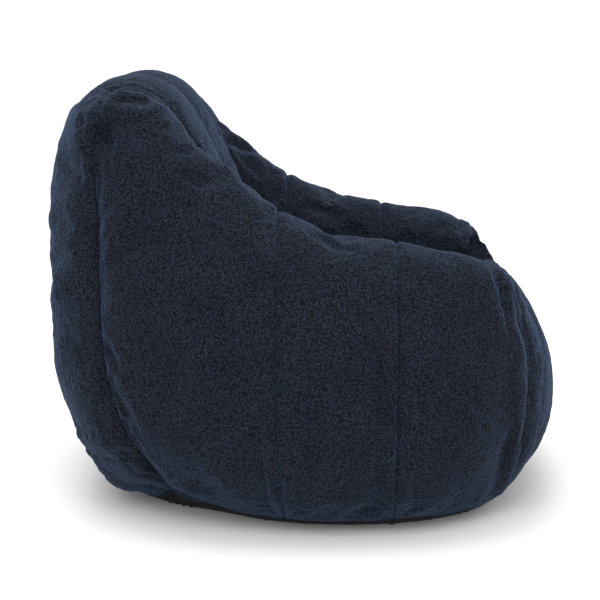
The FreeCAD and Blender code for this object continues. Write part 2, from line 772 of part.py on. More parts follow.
def zip_slider():
    """Two plates joined by a narrow diamond that passes between the coils."""
    body = new_body("zip_slider")
    plate = rectangle("Sizes.slider_length / 2", "Sizes.slider_width / 2")
    below = f"-{GAP} - Sizes.slider_plate"
    lower = polygon_sketch(body, "XY_Plane", "lower_plate_outline", plate, below)
    pad(body, lower, "lower_plate", "Sizes.slider_plate")
    post = rectangle("Sizes.slider_length / 5", "Sizes.diamond_width / 2")
    diamond = polygon_sketch(body, "XY_Plane", "diamond_outline", post, f"-{GAP} - {POST_BITE}")
    pad(body, diamond, "diamond", f"2 * ({GAP} + {POST_BITE})")
    upper = polygon_sketch(body, "XY_Plane", "upper_plate_outline", plate, GAP)
    top = pad(body, upper, "upper_plate", "Sizes.slider_plate")
    doc.recompute()
    outside = 0.4 * size("slider_width")
    upright = [f"Edge{k}" for k, e in enumerate(top.Shape.Edges, start=1)
               if abs(e.tangentAt(e.FirstParameter).z) > 0.99 and abs(e.Vertexes[0].Y) > outside]
    corners = body.newObject("PartDesign::Fillet", "plate_corners")
    corners.Base = (top, upright)
    corners.setExpression("Radius", "Sizes.slider_width / 4")
    body.Placement = on_zip(SLIDER_X, 0, 0)


def zip_bail():
    """Low bridge on the slider's outer plate; a child-resistant slider has no pull tab."""
    body = new_body("zip_bail")
    base = f"{GAP} + Sizes.slider_plate"
    foot = rectangle("Sizes.slider_length / 4", f"{BRIDGE_WIDTH / 2}")
    bridge = polygon_sketch(body, "XY_Plane", "bridge_outline", foot, base)
    pad(body, bridge, "bridge", f"{BRIDGE_HEIGHT}")
    doc.recompute()
    before = body.Shape.Volume
    x_half = f"(Sizes.slider_length / 4 - {BRIDGE_WALL})"
    low, high = f"{base} - 0.5", f"{base} + {BRIDGE_HEIGHT - BRIDGE_WALL}"
    eye = polygon_sketch(body, "XZ_Plane", "eye_outline",
                         [(f"-{x_half}", low), (x_half, low), (x_half, high), (f"-{x_half}", high)])
    cut = body.newObject("PartDesign::Pocket", "eye")
    cut.Profile = eye
    cut.Type = "ThroughAll"
    cut.Midplane = True
    doc.recompute()
    assert body.Shape.Volume < before - 1, "the bridge's eye was not cut"
    body.Placement = on_zip(SLIDER_X, 0, 0)


zip_slider()
zip_bail()

# ---------------------------------------------------------------- check and write
doc.recompute()
failed = [o.Name for o in doc.Objects if {"Invalid", "Error"} & set(o.State)]
assert not failed, f"failed features: {failed}"
for name, node in nodes.items():
    assert not node.Shape.isNull() and node.Shape.isValid(), f"{name} has no valid shape"
    assert node.Shape.Volume > 0, f"{name} is inside out"
os.makedirs("parts", exist_ok=True)
for name, node in nodes.items():
    node.Shape.exportStep(f"parts/{name}.step")
print(f"{len(nodes)} nodes")
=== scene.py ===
"""Bean bag armchair: sherpa covers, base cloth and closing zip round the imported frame. Metres."""
import math

import bmesh
import bpy
import numpy as np
from mathutils import Matrix, Vector
from mathutils.bvhtree import BVHTree


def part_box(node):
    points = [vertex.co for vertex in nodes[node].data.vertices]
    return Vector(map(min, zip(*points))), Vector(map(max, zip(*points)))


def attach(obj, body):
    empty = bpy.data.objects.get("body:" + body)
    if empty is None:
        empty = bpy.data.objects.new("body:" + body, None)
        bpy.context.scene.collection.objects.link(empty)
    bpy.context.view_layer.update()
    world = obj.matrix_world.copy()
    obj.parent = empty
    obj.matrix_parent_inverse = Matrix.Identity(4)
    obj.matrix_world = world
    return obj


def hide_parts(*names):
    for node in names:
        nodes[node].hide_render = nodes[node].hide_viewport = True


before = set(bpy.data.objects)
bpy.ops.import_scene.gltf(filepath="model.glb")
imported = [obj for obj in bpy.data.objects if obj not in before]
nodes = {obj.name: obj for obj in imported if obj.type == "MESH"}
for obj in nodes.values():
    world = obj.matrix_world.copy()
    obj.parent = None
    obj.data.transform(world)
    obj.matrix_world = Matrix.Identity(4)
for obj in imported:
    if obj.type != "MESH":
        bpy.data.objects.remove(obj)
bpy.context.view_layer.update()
scene = bpy.context.scene

# ---------------------------------------------------------------- camera
camera_data = bpy.data.cameras.new("camera")
camera_data.sensor_width = 36.0
camera_data.lens = 81.6
camera = bpy.data.objects.new("camera", camera_data)
scene.collection.objects.link(camera)
camera.location = (-2.592, -0.0326, 0.865)
PITCH, YAW = math.radians(11.43), math.radians(1.03)
look = Vector((math.cos(YAW) * math.cos(PITCH), math.sin(YAW) * math.cos(PITCH), -math.sin(PITCH)))
camera.rotation_euler = look.to_track_quat("-Z", "Y").to_euler()
scene.camera = camera

# ---------------------------------------------------------------- where the seams run
INNER = 0.203            # seam between seat and arm, and between back strips
SEAT_FRONT = -0.392
SEAT_BACK = 0.020
MIDDLE_SEAM, REAR_SEAM = -0.155, 0.045
BASE_LINE = 0.017        # covers meet the base cloth at this height
ZIP_TILT = math.radians(20)
ZIP_HALF = 0.015         # half of the opening between the two hems
ZIP_RECESS = 0.009       # zip below the hems
tape_low, tape_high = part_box("zip_tape_lower")[0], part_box("zip_tape_upper")[1]
ZIP_DOWN = Vector((0, -math.sin(ZIP_TILT), -math.cos(ZIP_TILT)))
ZIP_OUT = Vector((0, math.cos(ZIP_TILT), -math.sin(ZIP_TILT)))
ZIP_CENTRE = (tape_low + tape_high) / 2 + ZIP_RECESS * ZIP_OUT


def curve(knots, at):
    """Smooth monotone curve through (x, y) knots, for an array of x."""
    xs, ys = (np.array(k, float) for k in zip(*knots))
    slopes = np.diff(ys) / np.diff(xs)
    before, after = slopes[:-1], slopes[1:]
    total = np.where(before * after > 0, before + after, 1.0)
    inside = np.where(before * after > 0, 2 * before * after / total, 0.0)
    tangents = np.concatenate(([slopes[0]], inside, [slopes[-1]]))
    at = np.clip(at, xs[0], xs[-1])
    i = np.clip(np.searchsorted(xs, at) - 1, 0, len(slopes) - 1)
    width = xs[i + 1] - xs[i]
    t = (at - xs[i]) / width
    return ((2 * t ** 3 - 3 * t ** 2 + 1) * ys[i] + (t ** 3 - 2 * t ** 2 + t) * width * tangents[i]
            + (3 * t ** 2 - 2 * t ** 3) * ys[i + 1] + (t ** 3 - t ** 2) * width * tangents[i + 1])


def back_seam(z):
    """Seam between the rear side strip and the back pad, as y at height z."""
    return curve([(0.0, 0.246), (0.046, 0.279), (0.171, 0.323), (0.405, 0.350),
                  (0.654, 0.350), (0.708, 0.345), (0.762, 0.338)], z)


def front_seam(z):
    """Seam between the front panel and the front side strip."""
    return curve([(0.0, -0.350), (0.12, -0.378), (0.28, -0.386), (0.41, -0.358), (0.45, -0.345)], z)


def zip_down(p):
    """How far points lie below the zip's line, along its face."""
    return (p[:, 1] - ZIP_CENTRE.y) * ZIP_DOWN.y + (p[:, 2] - ZIP_CENTRE.z) * ZIP_DOWN.z


def seam_distances(p):
    """Distance from points to each seam, and 1 m where that seam doesn't run."""
    x, y, z = np.abs(p[:, 0]), p[:, 1], p[:, 2]
    side, down, far = x > INNER - 0.001, zip_down(p), np.ones(len(p))
    back = (y > SEAT_BACK) & (z > 0.1) & (down < -ZIP_HALF)
    behind = (z < 0.3) & (y > back_seam(z) - 0.002)
    lower_hem = np.where(side, far, abs(down - ZIP_HALF))
    return {
        "front": np.where(side, abs(y - front_seam(z)), np.where(z > 0.3, abs(y - SEAT_FRONT), far)),
        "middle": np.where(side, abs(y - MIDDLE_SEAM), far),
        "rear": np.where(side, abs(y - REAR_SEAM), far),
        "back": np.where(side, abs(y - back_seam(z)), far),
        "inner": np.where(back | ((y > SEAT_FRONT) & (z > 0.33)), abs(x - INNER), far),
        "centre": np.where(back, x, far),
        "crease": np.where(~side & (y < 0.12), abs(y - SEAT_BACK), far),
        "zip": np.where(behind, np.minimum(abs(down + ZIP_HALF), lower_hem), far),
        "base": z - BASE_LINE,
    }


def near_seams(p):
    """Distance from points to the nearest seam."""
    return np.min(list(seam_distances(p).values()), axis=0)


# ---------------------------------------------------------------- noise over arrays of points
def lattice(cells, seed):
    """Repeatable value from 0 to 1 for each whole-number cell."""
    c = cells.astype(np.int64).astype(np.uint64)
    h = c[:, 0] * np.uint64(374761393) + c[:, 1] * np.uint64(668265263) + c[:, 2] * np.uint64(2246822519)
    h = (h + np.uint64(seed * 3266489917 & 0xFFFFFFFF)) & np.uint64(0xFFFFFFFF)
    h = ((h ^ (h >> np.uint64(15))) * np.uint64(2246822519)) & np.uint64(0xFFFFFFFF)
    h = ((h ^ (h >> np.uint64(13))) * np.uint64(3266489917)) & np.uint64(0xFFFFFFFF)
    return ((h ^ (h >> np.uint64(16))) & np.uint64(0xFFFF)).astype(float) / 65535.0


CORNERS = [np.array((a, b, c)) for a in (0, 1) for b in (0, 1) for c in (0, 1)]
AROUND = [np.array((a, b, c)) for a in (-1, 0, 1) for b in (-1, 0, 1) for c in (-1, 0, 1)]


def lumps(p, size, seed):
    """Smooth noise from -1 to 1 with lumps of about that size."""
    q = p / size
    cell = np.floor(q)
    t = q - cell
    t = t * t * (3 - 2 * t)
    total = np.zeros(len(p))
    for corner in CORNERS:
        weight = np.prod(np.where(corner == 1, t, 1 - t), axis=1)
        total += weight * lattice(cell + corner, seed)
    return 2 * total - 1


def curls(p, size, seed):
    """Rounded tufts from 0 to 1, one to a cell of that size, with creases between them."""
    q = p / size
    cell = np.floor(q)
    nearest = np.full(len(p), 9.0)
    for step in AROUND:
        c = cell + step
        centre = c + 0.15 + 0.7 * np.stack([lattice(c, seed + k) for k in range(3)], axis=1)
        nearest = np.minimum(nearest, ((q - centre) ** 2).sum(axis=1))
    return np.sqrt(np.clip(1 - nearest / 0.72, 0, 1))


# ---------------------------------------------------------------- the stuffed body
VOXEL, FINE_VOXEL = 0.009, 0.004
SEAM_CLOSING = 0.0016    # growth that closes the gaps between the covers
INSET, TOP_INSET = 0.012, 0.003   # the cloth starts this far inside, less on top, and swells back out
SWELL = 0.014            # furthest that it may move
SWELL_REACH = 0.030      # it swells fully this far from a seam
HELD_WITHIN = 0.0055     # points this near a seam are held
CLOTH_FRAMES = 20
PLUG_SIZE = (0.42, 0.044, 0.026, 1)   # block behind the zip that closes its slot in the body
PLUG_DEPTH = 0.017
SIDES = ("left", "right")
COVERS = (["front_panel", "seat_panel", "rear_tuck_panel"]
          + [f"side_strip_{k}_{s}" for k in ("front", "middle", "rear") for s in SIDES]
          + [f"back_strip_{k}_{s}" for k in ("centre", "outer") for s in SIDES])
FILLS = (["front_fill", "seat_fill", "back_fill"]
         + [f"{k}_{s}" for k in ("arm_fill", "back_wing_fill") for s in SIDES])


def new_object(name, mesh):
    obj = bpy.data.objects.new(name, mesh)
    scene.collection.objects.link(obj)
    return obj


def get_points(mesh):
    """The mesh's vertices as an array of rows."""
    co = np.empty(len(mesh.vertices) * 3, np.float32)
    mesh.vertices.foreach_get("co", co)
    return co.reshape(-1, 3).astype(float)


def get_normals(mesh):
    """The normals at the mesh's vertices."""
    no = np.empty(len(mesh.vertices) * 3, np.float32)
    mesh.vertices.foreach_get("normal", no)
    return no.reshape(-1, 3).astype(float)


def set_points(mesh, co):
    mesh.vertices.foreach_set("co", np.ascontiguousarray(co, np.float32).ravel())
    mesh.update()


def evaluated(obj):
    """The object's mesh with its modifiers applied, as a new mesh."""
    graph = bpy.context.evaluated_depsgraph_get()
    return bpy.data.meshes.new_from_object(obj.evaluated_get(graph))


def voxelled(obj, size):
    """The outer skin of the object's volume, remeshed with voxels of that size."""
    voxels = obj.modifiers.new("voxels", "REMESH")
    voxels.mode = "VOXEL"
    voxels.voxel_size = size
    obj.data = outer_shell(evaluated(obj))
    obj.modifiers.clear()


def outer_shell(mesh):
    """Only the part of a mesh that is joined to its highest vertex."""
    bm = bmesh.new()
    bm.from_mesh(mesh)
    reached = {max(bm.verts, key=lambda v: v.co.z)}
    todo = list(reached)
    while todo:
        v = todo.pop()
        for e in v.link_edges:
            w = e.other_vert(v)
            if w not in reached:
                reached.add(w)
                todo.append(w)
    bmesh.ops.delete(bm, geom=[v for v in bm.verts if v not in reached], context="VERTS")
    bm.to_mesh(mesh)
    bm.free()
    return mesh


def smoothed(obj, iterations):
    """Evens out the object's mesh."""
    smooth = obj.modifiers.new("smooth", "SMOOTH")
    smooth.factor, smooth.iterations = 0.5, iterations
    obj.data = evaluated(obj)
    obj.modifiers.clear()


def stuffed_body():
    """The covers and chambers joined into one closed form."""
    bm = bmesh.new()
    for name in COVERS + FILLS + ["base_panel", "zip_tape_upper", "zip_tape_lower"]:
        bm.from_mesh(nodes[name].data)
    bm.normal_update()
    for v in bm.verts:
        v.co += SEAM_CLOSING * v.normal
    turn = Matrix((Vector((1, 0, 0)), ZIP_DOWN, ZIP_OUT)).transposed()
    plug = Matrix.Translation(ZIP_CENTRE - PLUG_DEPTH * ZIP_OUT) @ turn.to_4x4() @ Matrix.Diagonal(PLUG_SIZE)
    bmesh.ops.create_cube(bm, size=1, matrix=plug)
    mesh = bpy.data.meshes.new("body")
    bm.to_mesh(mesh)
    bm.free()
    body = new_object("body", mesh)
    voxelled(body, FINE_VOXEL)
    voxelled(body, VOXEL)
    smoothed(body, 5)
    return body


def inflate(body):
    """Cloth with pressure, held at the seams; no point moves further than the cap."""
    mesh = body.data
    start = get_points(mesh)
    nearest = near_seams(start)
    share = np.clip(nearest / SWELL_REACH, 0, 1)
    normals = get_normals(mesh)
    upward = np.clip(normals[:, 2] * 1.6, 0, 1)
    start -= normals * ((INSET + (TOP_INSET - INSET) * upward) * share)[:, None]
    set_points(mesh, start)
    pinned = nearest < HELD_WITHIN
    group = body.vertex_groups.new(name="held")
    group.add(np.flatnonzero(pinned).tolist(), 1.0, "REPLACE")
    cloth = body.modifiers.new("cloth", "CLOTH")
    s = cloth.settings
    s.quality = 4
    s.mass = 0.25
    s.tension_stiffness, s.compression_stiffness, s.shear_stiffness = 30, 30, 12
    s.bending_stiffness = 1.5
    s.air_damping = 2.0
    s.vertex_group_mass = "held"
    s.shrink_min = -0.03
    s.use_pressure = True
    s.uniform_pressure_force = 4.0
    s.effector_weights.gravity = 0.0
    cloth.collision_settings.use_collision = False
    for k in range(1, CLOTH_FRAMES + 1):
        scene.frame_set(k)
    end = get_points(evaluated(body))
    scene.frame_set(1)
    body.modifiers.clear()
    move = end - start
    length = np.linalg.norm(move, axis=1)
    cap = SWELL * share
    move *= np.minimum(1, cap / np.maximum(length, 1e-9))[:, None]
    set_points(mesh, start + move)
    return length


body = stuffed_body()
print("body", len(body.data.vertices), "points")
moved = inflate(body)
print("cloth moved", float(moved.mean()), float(moved.max()))


# ---------------------------------------------------------------- cut along the seams
CUT_SNAP = 0.0008        # vertices this near a cut are moved onto it
STRIPS_LOW_END = 0.085   # the seams between strips stop above this height


def shift_along_y(bm, warp, sign):
    """Moves every vertex along Y by the warp's value at its height."""
    if warp is None:
        return
    verts = list(bm.verts)
    for v, shift in zip(verts, warp(np.array([v.co.z for v in verts]))):
        v.co.y += sign * shift


def cut(bm, at, normal, where, warp=None):
    """Cuts faces whose centre passes the test with a plane, or a surface y = warp(z)."""
    faces = [f for f in bm.faces if where(f.calc_center_median())]
    edges = {e for f in faces for e in f.edges}
    verts = {v for f in faces for v in f.verts}
    shift_along_y(bm, warp, -1)
    whole = faces + list(edges) + list(verts)
    bmesh.ops.bisect_plane(bm, geom=whole, dist=CUT_SNAP, plane_co=at, plane_no=normal)
    shift_along_y(bm, warp, 1)


def panel_names(c):
    """Name of the panel each face centre belongs to, and an empty name where there is none."""
    x, y, z = np.abs(c[:, 0]), c[:, 1], c[:, 2]
    side = np.where(c[:, 0] > 0, "_left", "_right")
    down = zip_down(c)
    inside = x < INNER
    front = np.where(inside, (y < SEAT_FRONT) | ((y < 0) & (z < 0.33)), y < front_seam(z))
    pad = y > np.where(inside, SEAT_BACK, back_seam(z))
    names = np.char.add("side_strip_rear", side)
    names = np.where(y < REAR_SEAM, np.char.add("side_strip_middle", side), names)
    names = np.where(y < MIDDLE_SEAM, np.char.add("side_strip_front", side), names)
    names = np.where(inside, "seat_panel", names)
    names = np.where(pad, np.where(inside, np.char.add("back_strip_centre", side),
                                   np.char.add("back_strip_outer", side)), names)
    names = np.where(front, "front_panel", names)
    tuck = (y > 0.2) & (y > back_seam(z)) & (z < 0.25) & (down > -ZIP_HALF)
    names = np.where(tuck, "rear_tuck_panel", names)
    names = np.where((y > 0.2) & inside & (abs(down) < ZIP_HALF), "", names)
    return np.where(z < BASE_LINE, "base_panel", names)


def cut_panels(mesh):
    """Splits the body at its seams: {panel: (points, the whole body's normals there, faces)}."""
    bm = bmesh.new()
    bm.from_mesh(mesh)
    x_axis, y_axis, z_axis = Vector((1, 0, 0)), Vector((0, 1, 0)), Vector((0, 0, 1))
    cut(bm, (0, 0, BASE_LINE), z_axis, lambda c: c.z < 0.04)
    for sign in (-1, 1):
        cut(bm, (sign * INNER, 0, 0), x_axis, lambda c: c.z > STRIPS_LOW_END and c.y > -0.42)
    cut(bm, (0, 0, 0), x_axis, lambda c: c.z > STRIPS_LOW_END and c.y > 0)
    cut(bm, (0, SEAT_FRONT, 0), y_axis, lambda c: abs(c.x) < INNER and c.z > 0.33)
    cut(bm, (0, SEAT_BACK, 0), y_axis, lambda c: abs(c.x) < INNER and c.z > 0.3)
    for y in (MIDDLE_SEAM, REAR_SEAM):
        cut(bm, (0, y, 0), y_axis, lambda c: abs(c.x) > INNER)
    cut(bm, (0, 0, 0), y_axis, lambda c: abs(c.x) > INNER, front_seam)
    cut(bm, (0, 0, 0), y_axis, lambda c: abs(c.x) > INNER, back_seam)
    cut(bm, ZIP_CENTRE - ZIP_HALF * ZIP_DOWN, ZIP_DOWN, lambda c: c.y > 0.2 and c.z < 0.25)
    cut(bm, ZIP_CENTRE + ZIP_HALF * ZIP_DOWN, ZIP_DOWN, lambda c: c.y > 0.2 and abs(c.x) < INNER)
    bm.verts.index_update()
    bm.normal_update()
    points = np.array([v.co for v in bm.verts])
    normals = np.array([v.normal for v in bm.verts])
    faces = [[v.index for v in f.verts] for f in bm.faces]
    centres = np.array([f.calc_center_median() for f in bm.faces])
    bm.free()
    names = panel_names(centres)
    panels = {}
    for name in COVERS + ["base_panel"]:
        chosen = [faces[k] for k in np.flatnonzero(names == name)]
        used = sorted({i for f in chosen for i in f})
        index = {old: new for new, old in enumerate(used)}
        panels[name] = (points[used], normals[used], [[index[i] for i in f] for f in chosen])
    return panels


HEM = 0.005


def hemmed(points, normals, faces):
    """The panel with its open edges turned in by a narrow hem, as points, normals and faces."""
    sides = {}
    for f in faces:
        for a, b in zip(f, f[1:] + f[:1]):
            sides[(a, b)] = sides.get((a, b), 0) + 1
    rim = [(a, b) for a, b in sides if (b, a) not in sides]
    turned = {i: len(points) + k for k, i in enumerate(sorted({i for edge in rim for i in edge}))}
    edge = list(turned)
    return (np.concatenate([points, points[edge] - HEM * normals[edge]]),
            np.concatenate([normals, normals[edge]]),
            faces + [[b, a, turned[a], turned[b]] for a, b in rim])


def panel_mesh(name, points, normals, faces, levels):
    """The hemmed panel subdivided, as an object, its points and the body's normals at them."""
    points, normals, faces = hemmed(points, normals, faces)
    mesh = bpy.data.meshes.new(name)
    mesh.from_pydata(points.tolist(), [], faces)
    outward = mesh.attributes.new("outward", "FLOAT_VECTOR", "POINT")
    outward.data.foreach_set("vector", normals.astype(np.float32).ravel())
    obj = new_object(name, mesh)
    finer = obj.modifiers.new("finer", "SUBSURF")
    finer.levels = finer.render_levels = levels
    obj.data = evaluated(obj)
    obj.modifiers.clear()
    outward = obj.data.attributes["outward"]
    directions = np.empty(len(obj.data.vertices) * 3, np.float32)
    outward.data.foreach_get("vector", directions)
    directions = directions.reshape(-1, 3).astype(float)
    directions /= np.maximum(np.linalg.norm(directions, axis=1), 1e-6)[:, None]
    obj.data.attributes.remove(outward)
    return obj, get_points(obj.data), directions


# ---------------------------------------------------------------- seams, folds and pile
SEAM_FORMS = {           # depth and reach of the valley at each seam
    "front": (0.006, 0.020), "middle": (0.009, 0.011), "rear": (0.009, 0.011), "back": (0.017, 0.045),
    "inner": (0.010, 0.030), "centre": (0.009, 0.030), "crease": (0.008, 0.022), "zip": (0.003, 0.008),
    "base": (0.004, 0.014),
}


TUFT_SIZE, TUFT_HEIGHT, TUFT_WANDER = 0.0062, 0.0016, 0.002


def valley(p):
    """How deep the seams pull the cover in."""
    deepest = np.zeros(len(p))
    for name, distance in seam_distances(p).items():
        depth, reach = SEAM_FORMS[name]
        share = np.clip(distance / reach, 0, 1)
        deepest = np.maximum(deepest, depth * (1 - np.sqrt(np.clip(1 - (1 - share) ** 2, 0, 1))))
    return deepest


FOLDS = [                # depth (a ridge if below zero), half width, side seen from, points as seen there
    (0.009, 0.009, "right", ((0.35, 0.71), (0.34, 0.69), (0.32, 0.67))),
    (0.007, 0.010, "above", ((-0.31, 0.32), (-0.31, 0.27), (-0.24, 0.24))),
    (0.006, 0.011, "above", ((-0.34, -0.02), (-0.35, -0.09))),
    (0.004, 0.008, "right", ((-0.08, 0.41), (-0.11, 0.38))),
    (0.008, 0.012, "above", ((0.21, 0.19), (0.29, 0.10))),
    (0.008, 0.012, "above", ((-0.21, 0.19), (-0.29, 0.10))),
    (0.006, 0.010, "right", ((0.34, 0.34), (0.31, 0.30))),
    (0.007, 0.011, "right", ((0.33, 0.28), (0.30, 0.20))),
    (0.008, 0.012, "right", ((0.32, 0.20), (0.28, 0.08))),
    (-0.007, 0.022, "right", ((0.26, 0.08), (0.21, 0.06))),
    (0.006, 0.011, "left", ((0.34, 0.35), (0.31, 0.29))),
    (0.007, 0.012, "left", ((0.33, 0.21), (0.28, 0.09))),
    (0.006, 0.012, "above", ((0.35, 0.01), (0.35, -0.07))),
    (0.005, 0.010, "above", ((-0.06, 0.03), (-0.15, -0.01))),
    (0.005, 0.010, "above", ((0.05, 0.03), (0.16, -0.02))),
    (0.004, 0.010, "right", ((-0.35, 0.44), (-0.38, 0.32))),
    (0.005, 0.012, "behind", ((-0.12, 0.33), (-0.10, 0.26), (-0.12, 0.19))),
    (0.005, 0.012, "behind", ((0.13, 0.35), (0.11, 0.28), (0.13, 0.20))),
]
SEEN_FROM = {            # direction of the eye, and the axes that a point's two numbers lie on
    "right": ((-1, 0, 0), (1, 2)), "left": ((1, 0, 0), (1, 2)),
    "above": ((0, 0, 1), (0, 1)), "behind": ((0, 1, 0), (0, 2)),
}


def fold_lines(body):
    """Each fold's depth, half width and line, its points found on the body's surface."""
    surface = BVHTree.FromObject(body, bpy.context.evaluated_depsgraph_get())
    lines = []
    for depth, half_width, side, points in FOLDS:
        towards, axes = SEEN_FROM[side]
        line = []
        for point in points:
            start = Vector(towards)
            for axis, value in zip(axes, point):
                start[axis] = value
            line.append(surface.ray_cast(start, -Vector(towards))[0])
        lines.append((depth, half_width, np.array(line)))
    return lines


FOLD_LINES = fold_lines(body)


def folds(p):
    """Height of the folds: rounded grooves that fade out at both ends of their lines."""
    height = np.zeros(len(p))
    for depth, half_width, line in FOLD_LINES:
        steps = np.linalg.norm(np.diff(line, axis=0), axis=1)
        reached = np.concatenate(([0], np.cumsum(steps)))
        nearest, along = np.full(len(p), 1.0), np.zeros(len(p))
        for k, step in enumerate(steps):
            ray = (line[k + 1] - line[k]) / step
            t = np.clip((p - line[k]) @ ray, 0, step)
            gap = np.linalg.norm(p - line[k] - t[:, None] * ray, axis=1)
            along = np.where(gap < nearest, reached[k] + t, along)
            nearest = np.minimum(gap, nearest)
        fade = np.sin(np.pi * np.clip(along / reached[-1], 0.08, 0.92)) ** 0.7
        height -= depth * fade * (np.exp(-(nearest / half_width) ** 2)
                                  - 0.35 * np.exp(-((nearest - 2 * half_width) / half_width) ** 2))
    return height


def relief(p):
    """Lumps of the filling, puckers beside the seams, and the folds."""
    nearest = near_seams(p)
    pucker = np.exp(-(nearest / 0.035) ** 2)
    return (0.0040 * lumps(p, 0.16, 3) + 0.0020 * lumps(p, 0.07, 5)
            + 0.0024 * pucker * lumps(p, 0.028, 7) + folds(p) * np.clip(nearest / 0.012, 0.15, 1))


def smoothstep(value, start, end):
    """0 before start, 1 after end, and a smooth rise between them."""
    t = np.clip((value - start) / (end - start), 0, 1)
    return t * t * (3 - 2 * t)


def settled(p):
    """The covers as they settle near the floor: rear corners drawn in and up, a narrower foot."""
    x, y, z = p.T
    corner = smoothstep(abs(x), 0.20, 0.30) * smoothstep(y, -0.05, 0.26)
    low, lowest = 1 - smoothstep(z, 0.02, 0.30), 1 - smoothstep(z, 0.0, 0.08)
    moved = p.copy()
    moved[:, 0] -= np.sign(x) * (0.016 * corner * low + 0.005 * lowest * smoothstep(abs(x), 0.1, 0.3))
    moved[:, 1] -= 0.040 * corner * low
    moved[:, 2] += 0.008 * corner * lowest * smoothstep(z, 0.004, 0.03)
    return moved


def make_panel(name, points, normals, faces):
    """One cover: its folds and seam valleys first, then the pile's tufts."""
    obj, p, outward = panel_mesh(name + "_cover", points, normals, faces, 2)
    set_points(obj.data, p + outward * (relief(p) - valley(p))[:, None])
    p = get_points(obj.data)
    warped = p + TUFT_WANDER * np.stack([lumps(p, 0.009, 11 + k) for k in range(3)], axis=1)
    pile = TUFT_HEIGHT * curls(warped, TUFT_SIZE, 21) + 0.0006 * lumps(p, 0.015, 31)
    set_points(obj.data, settled(p + get_normals(obj.data) * pile[:, None]))
    obj.data.shade_smooth()
    return obj


# ---------------------------------------------------------------- materials
def material(name):
    m = bpy.data.materials.new(name)
    m.use_nodes = True
    tree = m.node_tree
    return m, tree, tree.nodes["Principled BSDF"]


def node(tree, kind, **values):
    n = tree.nodes.new(kind)
    for key, value in values.items():
        if key in n.inputs:
            n.inputs[key].default_value = value
        else:
            setattr(n, key, value)
    return n


def ramp(tree, source, stops):
    r = tree.nodes.new("ShaderNodeValToRGB")
    while len(r.color_ramp.elements) < len(stops):
        r.color_ramp.elements.new(0.5)
    for element, (at, colour) in zip(r.color_ramp.elements, stops):
        element.position = at
        element.color = (*colour, 1)
    tree.links.new(source, r.inputs["Fac"])
    return r.outputs["Color"]


def bump(tree, shader, height, distance, below=None):
    b = node(tree, "ShaderNodeBump", Distance=distance)
    tree.links.new(height, b.inputs["Height"])
    if below is not None:
        tree.links.new(below, b.inputs["Normal"])
    tree.links.new(b.outputs["Normal"], shader.inputs["Normal"])
    return b.outputs["Normal"]


def place(tree):
    return tree.nodes.new("ShaderNodeTexCoord").outputs["Object"]


def textured(tree, kind, **values):
    t = node(tree, kind, **values)
    tree.links.new(place(tree), t.inputs["Vector"])
    return t


def mixed(tree, factor, a, b, mode="MIX"):
    m = tree.nodes.new("ShaderNodeMix")
    m.data_type, m.blend_type = "RGBA", mode
    for socket, value in ((m.inputs["Factor"], factor), (m.inputs[6], a), (m.inputs[7], b)):
        if isinstance(value, bpy.types.NodeSocket):
            tree.links.new(value, socket)
        else:
            socket.default_value = value
    return m.outputs[2]


def sherpa():
    """Curled pile: tuft tips lighter, with painted shade darkening the creases between tufts, and a bluish
    sheen where the cloth turns away.
    """
    m, tree, shader = material("sherpa")
    shader.inputs["Roughness"].default_value = 0.95
    shader.inputs["Specular IOR Level"].default_value = 0.15
    shader.inputs["Sheen Weight"].default_value = 0.27
    shader.inputs["Sheen Roughness"].default_value = 0.32
    shader.inputs["Sheen Tint"].default_value = (0.24, 0.42, 0.80, 1)
    wander = textured(tree, "ShaderNodeTexNoise", Scale=150.0, Detail=2.0)
    spread = tree.nodes.new("ShaderNodeVectorMath")
    spread.operation = "MULTIPLY_ADD"
    tree.links.new(wander.outputs["Color"], spread.inputs[0])
    spread.inputs[1].default_value = (0.0030, 0.0030, 0.0030)
    tree.links.new(place(tree), spread.inputs[2])
    tufts = node(tree, "ShaderNodeTexVoronoi", Scale=300.0)
    tree.links.new(spread.outputs["Vector"], tufts.inputs["Vector"])
    # painted shade: the colour darkens from each tuft's tip down into the creases between tufts
    base = ramp(tree, tufts.outputs["Distance"], [
        (0.05, (0.023, 0.031, 0.054)), (0.38, (0.0090, 0.0125, 0.0225)), (0.72, (0.0016, 0.0023, 0.0042))])
    patches = textured(tree, "ShaderNodeTexNoise", Scale=14.0, Detail=3.0)
    shade = ramp(tree, patches.outputs["Fac"], [(0.3, (0.82, 0.83, 0.86)), (0.7, (1.18, 1.17, 1.14))])
    fibres = textured(tree, "ShaderNodeTexNoise", Scale=900.0, Detail=3.0)
    flecks = ramp(tree, fibres.outputs["Fac"], [(0.35, (0.80, 0.82, 0.86)), (0.68, (1.2, 1.19, 1.16))])
    colour = mixed(tree, 1.0, mixed(tree, 1.0, base, shade, "MULTIPLY"), flecks, "MULTIPLY")
    tree.links.new(colour, shader.inputs["Base Color"])
    normal = bump(tree, shader, tufts.outputs["Distance"], -0.0014)
    bump(tree, shader, fibres.outputs["Fac"], 0.0004, normal)
    return m


